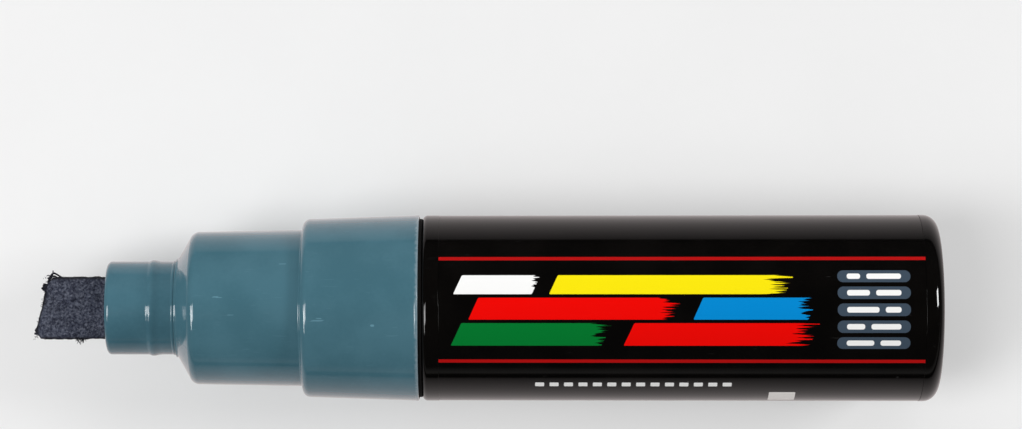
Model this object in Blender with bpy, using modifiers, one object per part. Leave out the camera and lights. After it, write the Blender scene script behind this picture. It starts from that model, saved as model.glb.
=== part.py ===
"""Valve-action paint marker without its cap, lying on its side with the nib towards -X.

Every piece hangs on one empty, marker_axis, which stands on the rear face of the barrel. Its local Z runs
along the marker towards the nib and its local X points up, so a piece's local Z is its station: the
distance from the rear face. Diameters build up from the nib outwards, wall by wall.
"""

import math

import bmesh
import bpy
from mathutils import Vector

mm = 0.001

# Clearances
FIT = 0.3 * mm
SLIP = 0.2 * mm
FILM_GAP = 0.05 * mm
TIGHT = 0.1 * mm

# Felt chisel nib
NIB_WIDTH = 8.0 * mm
NIB_THICKNESS = 5.0 * mm
NIB_REACH = 9.3 * mm
NIB_INSERT = 16.9 * mm
NIB_SLANT = 1.6 * mm
NIB_ROUND = 0.35 * mm

# Tip holder: the tube that grips the nib, put in from inside and stopped by its flange
HOLDER_WALL = 1.145 * mm
HOLDER_REACH = 9.15 * mm
HOLDER_ROUND = 0.65 * mm
HOLDER_FACE = 2.0 * mm
FLANGE_STEP = 1.3 * mm
FLANGE_THICKNESS = 1.4 * mm
CAP_SEAL_HEIGHT = 0.18 * mm
CAP_SEAL_WIDTH = 0.8 * mm
CAP_SEAL_SETBACK = 5.95 * mm

# Front barrel: grip collar, cap seat, cone, and the spigot that plugs into the barrel
NOSE_WALL = 2.5 * mm
NOSE_LENGTH = 14.05 * mm
NOSE_DRAFT = 0.25 * mm
NOSE_ROUND = 0.85 * mm
NOSE_FILLET = 0.25 * mm
NOSE_FRONT_WALL = 2.95 * mm
CONE_LENGTH = 2.2 * mm
CONE_LIP = 0.12 * mm
COLLAR_LENGTH = 15.25 * mm
COLLAR_DRAFT = 0.5 * mm
COLLAR_ROUND = 0.85 * mm
VALVE_SEAT_STEP = 0.9 * mm
VALVE_SEAT_DEPTH = 12.0 * mm
SPIGOT_WALL = 1.73 * mm
SPIGOT_LENGTH = 10.3 * mm
SPIGOT_CHAMFER = 0.4 * mm

# Snap bead of the spigot, and the ridges that hold the pieces pushed in past them
BEAD_HEIGHT = 0.4 * mm
BEAD_WIDTH = 0.7 * mm
BEAD_RAMP = 0.7 * mm
BEAD_SPACING = 2.9 * mm
RIDGE_HEIGHT = 0.45 * mm
RIDGE_WIDTH = 0.35 * mm
RIDGE_RAMP = 0.8 * mm
RIDGE_STEEP = 0.15 * mm
RIDGE_SETBACK = 0.4 * mm

# Seal ring between spigot and barrel
SEAL_CORD_R = 0.55 * mm
SEAL_SETBACK = 2.3 * mm
SEAL_SIDE_ROOM = 0.15 * mm

# Barrel: the paint reservoir, a tube closed at the rear
SEAM = 0.3 * mm
BARREL_LENGTH = 66.75 * mm
BARREL_WALL = 1.56 * mm
BARREL_DRAFT = 0.1 * mm
BARREL_END_ROUND = 1.85 * mm
BARREL_FRONT_ROUND = 0.5 * mm
RIM_ROUND = 0.25 * mm
REAR_WALL = 1.8 * mm
BORE_DRAFT = 0.15 * mm
BORE_ROUND = 1.0 * mm

# Printed film in a shallow recess round the barrel
FILM_THICKNESS = 0.12 * mm
FILM_SINK = 0.03 * mm
FILM_REAR_MARGIN = 0.95 * mm
FILM_FRONT_MARGIN = 2.4 * mm

# Valve housing: a cup with a seat lip round its orifice
HOUSING_WALL = 1.2 * mm
HOUSING_FACE = 1.6 * mm
NOZZLE_WALL = 1.4 * mm
NOZZLE_REACH = 2.0 * mm
SEAT_LIP_SETBACK = 0.8 * mm
SEAT_LIP_WIDTH = 0.6 * mm
SEAT_LIP_HEIGHT = 0.8 * mm

# Valve stem: nib pad, fluted shank, head, boss and tail
VALVE_TRAVEL = 2.5 * mm
PAD_R = 3.4 * mm
PAD_THICKNESS = 1.2 * mm
SHANK_R = 1.3 * mm
FLUTE_DEPTH = 0.8 * mm
FLUTE_THICKNESS = 0.8 * mm
HEAD_OVERLAP = 0.5 * mm
HEAD_THICKNESS = 1.6 * mm
BOSS_LENGTH = 1.6 * mm
TAIL_R = 1.05 * mm
TAIL_REACH = 1.4 * mm
EDGE_ROUND = 0.25 * mm

# Gasket on the valve head
GASKET_THICKNESS = 0.9 * mm
GASKET_OVERHANG = 0.3 * mm

# Spring retainer: closes the housing, guides and stops the stem, and lets paint through
RETAINER_FLANGE = 1.6 * mm
RETAINER_PLUG = 2.6 * mm
RETAINER_RIM = 0.9 * mm
HUB_WALL = 0.55 * mm
PORT_COUNT = 4
PORT_R = 1.4 * mm

# Valve spring
WIRE_R = 0.25 * mm
SPRING_TURNS = 6.5
SPRING_STEPS = 10

# Loose steel ball that stirs the paint
BALL_R = 3.5 * mm
BALL_PARK = 3.7 * mm

# Facets
BODY_STEPS = 48
INNER_STEPS = 32
SMALL_STEPS = 24
SEAL_SIDES = 10
LARGE_ROUND = 0.5 * mm
LARGE_ROUND_STEPS = 5
SMALL_ROUND_STEPS = 2
NIB_ROUND_STEPS = 3
LARGEST_SHARE = 0.7
CUT_OVERLAP = 1.0 * mm
AXIS_MERGE = 0.01 * mm

# Stations along the marker, counted from the rear face
COLLAR_REAR = BARREL_LENGTH + SEAM
COLLAR_FRONT = COLLAR_REAR + COLLAR_LENGTH
NOSE_FRONT = COLLAR_FRONT + NOSE_LENGTH
LIP_FACE = NOSE_FRONT + CONE_LENGTH
NOSE_INSIDE = LIP_FACE - NOSE_FRONT_WALL
HOLDER_FRONT = LIP_FACE + HOLDER_REACH
FLANGE_FRONT = NOSE_INSIDE - FIT
FLANGE_REAR = FLANGE_FRONT - FLANGE_THICKNESS
NIB_TIP = HOLDER_FRONT + NIB_REACH
NIB_REAR = HOLDER_FRONT - NIB_INSERT
SPIGOT_END = COLLAR_REAR - SPIGOT_LENGTH
SEAL_STATION = SPIGOT_END + SEAL_SETBACK
BEAD_STATION = SEAL_STATION + BEAD_SPACING
RIDGE_FRONT = SPIGOT_END + RIDGE_SETBACK + RIDGE_RAMP + RIDGE_WIDTH + RIDGE_STEEP
RETAINER_REAR = RIDGE_FRONT + FIT
RETAINER_FRONT = RETAINER_REAR + RETAINER_FLANGE
HOUSING_REAR = RETAINER_FRONT + FIT
SEAT_FACE = COLLAR_REAR + VALVE_SEAT_DEPTH
HOUSING_FRONT = SEAT_FACE - FIT
GASKET_FRONT = HOUSING_FRONT - HOUSING_FACE - SEAT_LIP_HEIGHT - SLIP
GASKET_REAR = GASKET_FRONT - GASKET_THICKNESS
HEAD_FRONT = GASKET_REAR - SLIP
HEAD_REAR = HEAD_FRONT - HEAD_THICKNESS
BOSS_REAR = HEAD_REAR - BOSS_LENGTH
HUB_FRONT = BOSS_REAR - VALVE_TRAVEL - FIT
PAD_FRONT = NIB_REAR - FIT
PAD_REAR = PAD_FRONT - PAD_THICKNESS
FILM_REAR = BARREL_END_ROUND + FILM_REAR_MARGIN
FILM_FRONT = BARREL_LENGTH - FILM_FRONT_MARGIN

# Radii, from the nib outwards
HOLDER_BORE_R = math.hypot(NIB_WIDTH / 2, NIB_THICKNESS / 2) + SLIP
HOLDER_R = HOLDER_BORE_R + HOLDER_WALL
HOLDER_HOLE_R = HOLDER_R + SLIP
FLANGE_R = HOLDER_R + FLANGE_STEP
NIB_CHAMBER_R = FLANGE_R + FIT
NOSE_REAR_R = NIB_CHAMBER_R + NOSE_WALL
VALVE_CHAMBER_R = NIB_CHAMBER_R + VALVE_SEAT_STEP
SPIGOT_R = VALVE_CHAMBER_R + SPIGOT_WALL
BARREL_REAR_R = SPIGOT_R + FIT + BARREL_WALL

# Radii of the valve, from the stem outwards
FLUTE_R = SHANK_R + FLUTE_DEPTH
ORIFICE_R = FLUTE_R + FIT
SEAT_LIP_R = ORIFICE_R + SEAT_LIP_SETBACK
HEAD_R = SEAT_LIP_R + HEAD_OVERLAP
GUIDE_R = TAIL_R + FIT
HUB_R = GUIDE_R + HUB_WALL
SPRING_R = HUB_R + FIT + WIRE_R
HOUSING_R = VALVE_CHAMBER_R - FIT
HOUSING_BORE_R = HOUSING_R - HOUSING_WALL
PLUG_R = HOUSING_BORE_R - FIT
PLUG_BORE_R = PLUG_R - RETAINER_RIM
PORT_CIRCLE_R = (SPRING_R + WIRE_R + PLUG_BORE_R) / 2


def bore_radius(station):
    return SPIGOT_R + FIT + BORE_DRAFT * (station - SPIGOT_END) / BARREL_LENGTH


def barrel_radius(station):
    return BARREL_REAR_R - BARREL_DRAFT * station / BARREL_LENGTH


def film_radius(station):
    return barrel_radius(station) - FILM_SINK


def recess_radius(station):
    return film_radius(station) - FILM_THICKNESS - FILM_GAP


SEAL_R = bore_radius(SEAL_STATION) - TIGHT - SEAL_CORD_R
SEAL_GROOVE_R = SEAL_R - SEAL_CORD_R - TIGHT
COLLAR_REAR_R = barrel_radius(BARREL_LENGTH)
BALL_STATION = REAR_WALL + BALL_R + BALL_PARK
BALL_DROP = bore_radius(REAR_WALL) - BALL_R - FIT
AXIS_HEIGHT = barrel_radius(BARREL_END_ROUND) * math.cos(math.pi / BODY_STEPS)


def clear_scene():
    for item in list(bpy.data.objects):
        bpy.data.objects.remove(item, do_unlink=True)


def new_collection(name):
    made = bpy.data.collections.new(name)
    bpy.context.scene.collection.children.link(made)
    return made


def finish(name, colour, roughness, metallic=0.0):
    made = bpy.data.materials.new(name)
    made.use_nodes = True
    shader = made.node_tree.nodes["Principled BSDF"]
    shader.inputs["Base Color"].default_value = (*colour, 1.0)
    shader.inputs["Roughness"].default_value = roughness
    shader.inputs["Metallic"].default_value = metallic
    return made


def rounded(corners, closed):
    """Points of an outline of (radius, station, round) corners, with each round as an arc.

    A round takes at most a set share of the stretches beside it.
    """
    points = []
    count = len(corners)
    for index, (radius, station, fillet) in enumerate(corners):
        here = Vector((radius, station))
        inner = closed or 0 < index < count - 1
        if not fillet or not inner:
            points.append(here)
            continue
        before = Vector(corners[index - 1][:2]) - here
        after = Vector(corners[(index + 1) % count][:2]) - here
        half = before.angle(after) / 2
        shortest = min(before.length, after.length)
        reach = min(fillet / math.tan(half), LARGEST_SHARE * shortest)
        centre = here + (before.normalized() + after.normalized()).normalized() * (reach / math.cos(half))
        start = here + before.normalized() * reach - centre
        end = here + after.normalized() * reach - centre
        sweep = start.angle_signed(end)
        steps = LARGE_ROUND_STEPS if fillet > LARGE_ROUND else SMALL_ROUND_STEPS
        for step in range(steps + 1):
            cos = math.cos(sweep * step / steps)
            sin = -math.sin(sweep * step / steps)
            points.append(centre + Vector((start.x * cos - start.y * sin, start.x * sin + start.y * cos)))
    return points


def place(item, collection, material=None):
    collection.objects.link(item)
    item.parent = axis
    if material:
        item.data.materials.append(material)
    return item


def turned(name, corners, material, steps, closed=False):
    """A solid of revolution about the marker's axis. The outline runs down its outer side, nib end first.

    The outline stands half a step round from the top, so that facets and not edges face up and down.
    """
    half_step = math.pi / steps
    outline = rounded(corners, closed)
    points = [(p.x * math.cos(half_step), p.x * math.sin(half_step), p.y) for p in outline]
    edges = [(i, i + 1) for i in range(len(points) - 1)]
    if closed:
        edges.append((len(points) - 1, 0))
    mesh = bpy.data.meshes.new(name)
    mesh.from_pydata(points, edges, [])
    item = place(bpy.data.objects.new(name, mesh), parts, material)
    screw = item.modifiers.new("Turn", "SCREW")
    screw.axis = "Z"
    screw.angle = math.tau
    screw.steps = steps
    screw.render_steps = steps
    screw.use_merge_vertices = True
    screw.merge_threshold = AXIS_MERGE
    screw.use_smooth_shade = True
    return item


def box_mesh(name, size, centre):
    mesh = bpy.data.meshes.new(name)
    shape = bmesh.new()
    bmesh.ops.create_cube(shape, size=1.0)
    bmesh.ops.scale(shape, vec=size, verts=shape.verts)
    bmesh.ops.translate(shape, vec=centre, verts=shape.verts)
    shape.to_mesh(mesh)
    shape.free()
    return mesh


def cylinder_mesh(name, radius, depth, centre):
    mesh = bpy.data.meshes.new(name)
    shape = bmesh.new()
    bmesh.ops.create_cone(
        shape, cap_ends=True, segments=SMALL_STEPS, radius1=radius, radius2=radius, depth=depth
    )
    bmesh.ops.translate(shape, vec=centre, verts=shape.verts)
    shape.to_mesh(mesh)
    shape.free()
    return mesh


def combine(item, mesh, operation):
    """Cuts or joins a helper shape, given in the marker's own axes, into a piece."""
    helper = place(bpy.data.objects.new(mesh.name, mesh), cutters)
    helper.hide_render = True
    helper.display_type = "WIRE"
    boolean = item.modifiers.new(mesh.name, "BOOLEAN")
    boolean.operation = operation
    boolean.object = helper


def ridge(radius, front):
    """Corners of a snap ridge inside a bore, rear first: a ramp, a narrow crest and a steep front."""
    crest_front = front - RIDGE_STEEP
    crest_rear = crest_front - RIDGE_WIDTH
    return [
        (radius, crest_rear - RIDGE_RAMP, 0),
        (radius - RIDGE_HEIGHT, crest_rear, 0),
        (radius - RIDGE_HEIGHT, crest_front, 0),
        (radius, front, 0),
    ]


def barrel():
    groove_r = SPIGOT_R + BEAD_HEIGHT + FIT
    groove_front = BEAD_STATION + BEAD_WIDTH / 2 + FIT
    groove_rear = BEAD_STATION - BEAD_WIDTH / 2 - FIT
    recess_front = FILM_FRONT + TIGHT
    recess_rear = FILM_REAR - TIGHT
    corners = [
        (0, REAR_WALL, 0),
        (bore_radius(REAR_WALL), REAR_WALL, BORE_ROUND),
        (bore_radius(groove_rear - BEAD_RAMP), groove_rear - BEAD_RAMP, 0),
        (groove_r, groove_rear, 0),
        (groove_r, groove_front, 0),
        (bore_radius(groove_front + BEAD_RAMP), groove_front + BEAD_RAMP, 0),
        (bore_radius(BARREL_LENGTH), BARREL_LENGTH, RIM_ROUND),
        (barrel_radius(BARREL_LENGTH), BARREL_LENGTH, BARREL_FRONT_ROUND),
        (barrel_radius(recess_front), recess_front, 0),
        (recess_radius(recess_front), recess_front, 0),
        (recess_radius(recess_rear), recess_rear, 0),
        (barrel_radius(recess_rear), recess_rear, 0),
        (BARREL_REAR_R, 0, BARREL_END_ROUND),
        (0, 0, 0),
    ]
    black = finish("barrel_black", (0.006, 0.006, 0.006), 0.18)
    return turned("barrel", corners, black, BODY_STEPS)


def wrap_film():
    corners = [
        (film_radius(FILM_FRONT), FILM_FRONT, 0),
        (film_radius(FILM_REAR), FILM_REAR, 0),
        (film_radius(FILM_REAR) - FILM_THICKNESS, FILM_REAR, 0),
        (film_radius(FILM_FRONT) - FILM_THICKNESS, FILM_FRONT, 0),
    ]
    black = finish("film_black", (0.005, 0.005, 0.005), 0.14)
    return turned("wrap_film", corners, black, BODY_STEPS, closed=True)


def front_barrel():
    bead_front = BEAD_STATION + BEAD_WIDTH / 2
    bead_rear = BEAD_STATION - BEAD_WIDTH / 2
    groove_front = SEAL_STATION + SEAL_CORD_R + SEAL_SIDE_ROOM
    groove_rear = SEAL_STATION - SEAL_CORD_R - SEAL_SIDE_ROOM
    corners = [
        (HOLDER_HOLE_R + CONE_LIP, LIP_FACE, 0),
        (NOSE_REAR_R - NOSE_DRAFT, NOSE_FRONT, NOSE_ROUND),
        (NOSE_REAR_R, COLLAR_FRONT, NOSE_FILLET),
        (COLLAR_REAR_R - COLLAR_DRAFT, COLLAR_FRONT, COLLAR_ROUND),
        (COLLAR_REAR_R, COLLAR_REAR, RIM_ROUND),
        (SPIGOT_R, COLLAR_REAR, 0),
        (SPIGOT_R, bead_front + BEAD_RAMP, 0),
        (SPIGOT_R + BEAD_HEIGHT, bead_front, 0),
        (SPIGOT_R + BEAD_HEIGHT, bead_rear, 0),
        (SPIGOT_R, bead_rear - BEAD_RAMP, 0),
        (SPIGOT_R, groove_front, 0),
        (SEAL_GROOVE_R, groove_front, 0),
        (SEAL_GROOVE_R, groove_rear, 0),
        (SPIGOT_R, groove_rear, 0),
        (SPIGOT_R, SPIGOT_END + SPIGOT_CHAMFER, 0),
        (SPIGOT_R - SPIGOT_CHAMFER, SPIGOT_END, 0),
        (VALVE_CHAMBER_R, SPIGOT_END, 0),
        *ridge(VALVE_CHAMBER_R, RIDGE_FRONT),
        (VALVE_CHAMBER_R, SEAT_FACE, 0),
        (NIB_CHAMBER_R, SEAT_FACE, 0),
        *ridge(NIB_CHAMBER_R, FLANGE_REAR - FIT),
        (NIB_CHAMBER_R, NOSE_INSIDE, 0),
        (HOLDER_HOLE_R, NOSE_INSIDE, 0),
        (HOLDER_HOLE_R, LIP_FACE, 0),
    ]
    slate = finish("front_slate_blue", (0.060, 0.150, 0.195), 0.22)
    return turned("front_barrel", corners, slate, BODY_STEPS, closed=True)


def barrel_seal():
    corners = []
    for side in range(SEAL_SIDES):
        angle = -math.tau * side / SEAL_SIDES
        radius = SEAL_R + SEAL_CORD_R * math.cos(angle)
        corners.append((radius, SEAL_STATION + SEAL_CORD_R * math.sin(angle), 0))
    rubber = finish("seal_rubber", (0.02, 0.02, 0.02), 0.7)
    return turned("barrel_seal", corners, rubber, BODY_STEPS, closed=True)


def tip_holder():
    """A tube with a slot for the nib in its front face and a bead that the cap seals on."""
    bead = HOLDER_FRONT - CAP_SEAL_SETBACK
    bead_r = HOLDER_R + CAP_SEAL_HEIGHT
    face_rear = HOLDER_FRONT - HOLDER_FACE
    corners = [
        (0, HOLDER_FRONT, 0),
        (HOLDER_R, HOLDER_FRONT, HOLDER_ROUND),
        (HOLDER_R, bead + CAP_SEAL_WIDTH / 2, 0),
        (bead_r, bead + CAP_SEAL_WIDTH / 4, 0),
        (bead_r, bead - CAP_SEAL_WIDTH / 4, 0),
        (HOLDER_R, bead - CAP_SEAL_WIDTH / 2, 0),
        (HOLDER_R, FLANGE_FRONT, 0),
        (FLANGE_R, FLANGE_FRONT, 0),
        (FLANGE_R, FLANGE_REAR, 0),
        (HOLDER_BORE_R, FLANGE_REAR, 0),
        (HOLDER_BORE_R, face_rear, 0),
        (0, face_rear, 0),
    ]
    slate = finish("holder_slate_blue", (0.055, 0.138, 0.180), 0.26)
    item = turned("tip_holder", corners, slate, BODY_STEPS)
    slot = (NIB_THICKNESS + 2 * SLIP, NIB_WIDTH + 2 * SLIP, HOLDER_FACE + 2 * CUT_OVERLAP)
    combine(item, box_mesh("nib_slot", slot, (0, 0, HOLDER_FRONT - HOLDER_FACE / 2)), "DIFFERENCE")
    return item


def nib():
    """A felt bar whose front is cut on the slant: the corner on the -Y side is the long one."""
    length = NIB_REACH + NIB_INSERT + CUT_OVERLAP
    mesh = box_mesh("nib", (NIB_THICKNESS, NIB_WIDTH, length), (0, 0, NIB_REAR + length / 2))
    shape = bmesh.new()
    shape.from_mesh(mesh)
    cut = bmesh.ops.bisect_plane(
        shape,
        geom=[*shape.verts, *shape.edges, *shape.faces],
        plane_co=(0, -NIB_WIDTH / 2, NIB_TIP),
        plane_no=(0, NIB_SLANT, NIB_WIDTH),
        clear_outer=True,
    )
    rim = [g for g in cut["geom_cut"] if isinstance(g, bmesh.types.BMEdge)]
    bmesh.ops.holes_fill(shape, edges=rim)
    bmesh.ops.recalc_face_normals(shape, faces=shape.faces)
    shape.to_mesh(mesh)
    shape.free()
    felt = finish("nib_felt", (0.045, 0.053, 0.080), 0.95)
    item = place(bpy.data.objects.new("nib", mesh), parts, felt)
    bevel = item.modifiers.new("Worn edges", "BEVEL")
    bevel.width = NIB_ROUND
    bevel.segments = NIB_ROUND_STEPS
    bevel.limit_method = "ANGLE"
    return item


def valve_housing():
    nozzle_front = HOUSING_FRONT + NOZZLE_REACH
    nozzle_r = ORIFICE_R + NOZZLE_WALL
    inner_face = HOUSING_FRONT - HOUSING_FACE
    corners = [
        (ORIFICE_R, nozzle_front, 0),
        (nozzle_r, nozzle_front, EDGE_ROUND),
        (nozzle_r, HOUSING_FRONT, 0),
        (HOUSING_R, HOUSING_FRONT, EDGE_ROUND),
        (HOUSING_R, HOUSING_REAR, EDGE_ROUND),
        (HOUSING_BORE_R, HOUSING_REAR, 0),
        (HOUSING_BORE_R, inner_face, 0),
        (SEAT_LIP_R + SEAT_LIP_WIDTH / 2, inner_face, 0),
        (SEAT_LIP_R, inner_face - SEAT_LIP_HEIGHT, 0),
        (SEAT_LIP_R - SEAT_LIP_WIDTH / 2, inner_face, 0),
        (ORIFICE_R, inner_face, 0),
    ]
    white = finish("housing_white", (0.70, 0.70, 0.67), 0.4)
    return turned("valve_housing", corners, white, INNER_STEPS, closed=True)


def valve_stem():
    """The nib presses on the pad; flutes centre the shank in the orifice and let paint past."""
    tail_rear = RETAINER_REAR - TAIL_REACH
    corners = [
        (0, PAD_FRONT, 0),
        (PAD_R, PAD_FRONT, EDGE_ROUND),
        (PAD_R, PAD_REAR, EDGE_ROUND),
        (SHANK_R, PAD_REAR, 0),
        (SHANK_R, HEAD_FRONT, 0),
        (HEAD_R, HEAD_FRONT, EDGE_ROUND),
        (HEAD_R, HEAD_REAR, EDGE_ROUND),
        (HUB_R, HEAD_REAR, 0),
        (HUB_R, BOSS_REAR, EDGE_ROUND),
        (TAIL_R, BOSS_REAR, 0),
        (TAIL_R, tail_rear, EDGE_ROUND),
        (0, tail_rear, 0),
    ]
    grey = finish("stem_grey", (0.55, 0.55, 0.53), 0.4)
    item = turned("valve_stem", corners, grey, SMALL_STEPS)
    flute_rear = GASKET_FRONT + SLIP
    flute_front = (PAD_FRONT + PAD_REAR) / 2
    centre = (0, 0, (flute_rear + flute_front) / 2)
    length = flute_front - flute_rear
    upright = box_mesh("upright_flutes", (2 * FLUTE_R, FLUTE_THICKNESS, length), centre)
    level = box_mesh("level_flutes", (FLUTE_THICKNESS, 2 * FLUTE_R, length), centre)
    combine(item, upright, "UNION")
    combine(item, level, "UNION")
    return item


def valve_gasket():
    outer_r = HEAD_R + GASKET_OVERHANG
    bore_r = SHANK_R + SLIP
    corners = [
        (outer_r, GASKET_FRONT, EDGE_ROUND),
        (outer_r, GASKET_REAR, EDGE_ROUND),
        (bore_r, GASKET_REAR, 0),
        (bore_r, GASKET_FRONT, 0),
    ]
    rubber = finish("gasket_rubber", (0.03, 0.03, 0.03), 0.7)
    return turned("valve_gasket", corners, rubber, SMALL_STEPS, closed=True)


def spring_retainer():
    """A flanged plug with paint ports round a long hub, whose end stops the stem's boss."""
    plug_front = RETAINER_FRONT + RETAINER_PLUG
    corners = [
        (PLUG_BORE_R, plug_front, 0),
        (PLUG_R, plug_front, EDGE_ROUND),
        (PLUG_R, RETAINER_FRONT, 0),
        (HOUSING_R, RETAINER_FRONT, 0),
        (HOUSING_R, RETAINER_REAR, EDGE_ROUND),
        (GUIDE_R, RETAINER_REAR, 0),
        (GUIDE_R, HUB_FRONT, 0),
        (HUB_R, HUB_FRONT, 0),
        (HUB_R, RETAINER_FRONT, 0),
        (PLUG_BORE_R, RETAINER_FRONT, 0),
    ]
    white = finish("retainer_white", (0.66, 0.66, 0.63), 0.4)
    item = turned("spring_retainer", corners, white, INNER_STEPS, closed=True)
    depth = RETAINER_FLANGE + 2 * CUT_OVERLAP
    middle = (RETAINER_FRONT + RETAINER_REAR) / 2
    for port in range(PORT_COUNT):
        angle = math.tau * (port + 0.5) / PORT_COUNT
        centre = (PORT_CIRCLE_R * math.cos(angle), PORT_CIRCLE_R * math.sin(angle), middle)
        combine(item, cylinder_mesh(f"paint_port_{port + 1}", PORT_R, depth, centre), "DIFFERENCE")
    return item


def least_self_gap(points):
    """The least clear distance between stretches of the wire that are over half a turn apart."""
    apart = SPRING_STEPS // 2 + 1
    nearest = min(
        (points[i] - points[j]).length for i in range(len(points)) for j in range(i + apart, len(points))
    )
    return nearest - 2 * WIRE_R


def valve_spring():
    rear = RETAINER_FRONT + FIT + WIRE_R
    front = HEAD_REAR - FIT - WIRE_R
    count = round(SPRING_TURNS * SPRING_STEPS)
    points = []
    for step in range(count + 1):
        angle = math.tau * step / SPRING_STEPS
        station = rear + (front - rear) * step / count
        points.append(Vector((SPRING_R * math.cos(angle), SPRING_R * math.sin(angle), station)))
    print(f"valve_spring: least gap to itself {least_self_gap(points) / mm:.2f} mm")
    curve = bpy.data.curves.new("valve_spring", "CURVE")
    curve.dimensions = "3D"
    curve.bevel_depth = WIRE_R
    curve.bevel_resolution = 1
    curve.use_fill_caps = True
    spline = curve.splines.new("POLY")
    spline.points.add(len(points) - 1)
    for spline_point, point in zip(spline.points, points):
        spline_point.co = (*point, 1.0)
    steel = finish("spring_steel", (0.60, 0.60, 0.62), 0.3, 1.0)
    return place(bpy.data.objects.new("valve_spring", curve), parts, steel)


def mixing_ball():
    mesh = bpy.data.meshes.new("mixing_ball")
    shape = bmesh.new()
    bmesh.ops.create_uvsphere(shape, u_segments=SMALL_STEPS, v_segments=SMALL_STEPS // 2, radius=BALL_R)
    shape.to_mesh(mesh)
    shape.free()
    mesh.shade_smooth()
    steel = finish("ball_steel", (0.62, 0.62, 0.64), 0.2, 1.0)
    item = place(bpy.data.objects.new("mixing_ball", mesh), parts, steel)
    item.location = (-BALL_DROP, 0, BALL_STATION)
    return item


clear_scene()
parts = new_collection("paint_marker")
cutters = new_collection("cutters")
axis = bpy.data.objects.new("marker_axis", None)
parts.objects.link(axis)
axis.location = (NIB_TIP / 2, 0, AXIS_HEIGHT)
axis.rotation_euler = (0, -math.pi / 2, 0)
bpy.context.view_layer.update()

barrel()
wrap_film()
front_barrel()
barrel_seal()
tip_holder()
nib()
valve_housing()
valve_stem()
valve_gasket()
spring_retainer()
valve_spring()
mixing_ball()
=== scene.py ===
"""Looks of the paint marker: turned shells, a printed film, a frayed felt nib and a wound spring.

Stations are millimetres from the rear face towards the nib, and radii are millimetres from the axis.
"""

import math
import random

import bmesh
import bpy
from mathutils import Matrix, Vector


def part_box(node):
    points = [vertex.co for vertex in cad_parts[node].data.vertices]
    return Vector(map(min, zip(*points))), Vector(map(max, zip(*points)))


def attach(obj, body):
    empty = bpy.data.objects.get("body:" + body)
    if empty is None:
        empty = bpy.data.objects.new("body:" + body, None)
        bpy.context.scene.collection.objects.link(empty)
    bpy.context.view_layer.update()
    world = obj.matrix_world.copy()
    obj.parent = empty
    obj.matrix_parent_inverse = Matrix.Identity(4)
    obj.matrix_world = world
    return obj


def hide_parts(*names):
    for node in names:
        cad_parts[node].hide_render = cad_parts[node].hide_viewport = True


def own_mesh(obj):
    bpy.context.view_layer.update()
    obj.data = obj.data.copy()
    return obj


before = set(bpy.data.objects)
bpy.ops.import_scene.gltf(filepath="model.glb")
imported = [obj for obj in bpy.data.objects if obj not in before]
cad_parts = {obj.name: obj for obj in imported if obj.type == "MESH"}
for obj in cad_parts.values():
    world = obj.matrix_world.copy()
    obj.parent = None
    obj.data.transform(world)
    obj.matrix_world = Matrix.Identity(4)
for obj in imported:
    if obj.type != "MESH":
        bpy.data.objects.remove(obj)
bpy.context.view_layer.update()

MM = 0.001


def span(node):
    """Lowest and highest corner of a CAD node, in millimetres."""
    low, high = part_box(node)
    return low / MM, high / MM


barrel_low, barrel_high = span("barrel")
front_low, front_high = span("front_barrel")
holder_low, holder_high = span("tip_holder")
nib_low, nib_high = span("nib")
film_low, film_high = span("wrap_film")
spring_low, spring_high = span("valve_spring")

# Place of the marker, and how much less a round shell reaches than the corners of its faceted solid
SOLID_FACETS = 48
REAR_X = barrel_high.x
AXIS_Z = (barrel_low.z + barrel_high.z) / 2
FACET_SHARE = math.cos(math.pi / SOLID_FACETS)

# Lengths along the marker
BASE_WALL = 1.8
SEAM_GAP = 0.3
SEAM_ROOM = 0.05
RIM_SETBACK = 0.15
COLLAR_LENGTH = 15.25
NOSE_LENGTH = 14.05
NOSE_BLEND = 0.15
LIP_REACH = 0.2
LIP_WALL = 0.3
RING_REACH = 0.5
BEAD_SETBACK = 5.95
FLANGE_LENGTH = 1.4
FLANGE_ROOM = 0.3
HOLDER_FACE = 2.0
NIB_REACH = 9.3
SEAL_SETBACK = 2.3
SEAL_HALF = 0.7
SNAP_SETBACK = 2.9
SNAP_HALF = 0.35
SNAP_SLOPE = 0.7
SPIGOT_CHAMFER = 0.4
VALVE_SEAT_DEPTH = 12.0
FILM_REAR_HEM = 0.35
FILM_FRONT_HEM = 0.2
FILM_END_ROOM = 0.03

# Stations along the marker
BARREL_FRONT = REAR_X - barrel_low.x
COLLAR_REAR = BARREL_FRONT + SEAM_GAP
COLLAR_FRONT = COLLAR_REAR + COLLAR_LENGTH
RIM_STATION = COLLAR_REAR + RIM_SETBACK
NOSE_FRONT = COLLAR_FRONT + NOSE_LENGTH
LIP_FACE = REAR_X - front_low.x
HOLDER_FRONT = REAR_X - holder_low.x
CAP_BEAD = HOLDER_FRONT - BEAD_SETBACK
FLANGE_REAR = REAR_X - holder_high.x
FLANGE_FRONT = FLANGE_REAR + FLANGE_LENGTH
NOSE_INSIDE = FLANGE_FRONT + FLANGE_ROOM
NIB_REAR = REAR_X - nib_high.x
NIB_TIP = HOLDER_FRONT + NIB_REACH
FILM_REAR = REAR_X - film_high.x - FILM_REAR_HEM
FILM_FRONT = REAR_X - film_low.x + FILM_FRONT_HEM
SPIGOT_END = REAR_X - front_high.x
SEAL_STATION = SPIGOT_END + SEAL_SETBACK
SNAP_STATION = SEAL_STATION + SNAP_SETBACK
VALVE_SEAT = COLLAR_REAR + VALVE_SEAT_DEPTH
SPRING_REAR = REAR_X - spring_high.x
SPRING_FRONT = REAR_X - spring_low.x

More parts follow.
